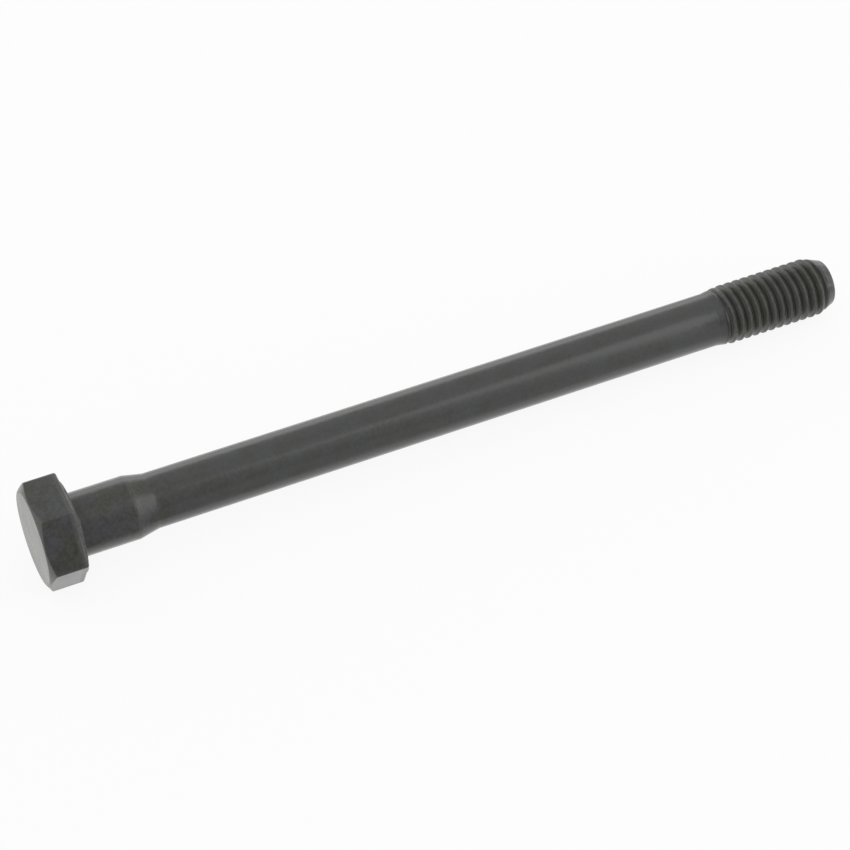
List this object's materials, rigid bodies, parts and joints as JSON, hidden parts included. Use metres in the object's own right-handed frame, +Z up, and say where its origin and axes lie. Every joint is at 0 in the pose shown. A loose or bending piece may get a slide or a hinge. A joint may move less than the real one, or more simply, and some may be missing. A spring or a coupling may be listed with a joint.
{
  "type": "cylinder head bolt",
  "caption": "Long hexagon-head cylinder head bolt with guide shoulder, slim plain shank and short coarse thread, black-finished steel.",
  "frame": {"origin": "centre of the bolt's seat, where the underside of the head meets the bolt's axis", "axes": "+X from the head to the tip, +Z up from the surface that the bolt lies on, +Y across. The bolt's own axis drops 1.3 degrees from +X towards the tip, because the hexagon is wider than the thread"},
  "size_m": [0.1397, 0.018, 0.0159],
  "materials": {
    "black_steel": "black phosphate with a thin oil film, satin"
  },
  "bodies": {
    "root": {"head_bolt": "black_steel"}
  },
  "joints": []
}
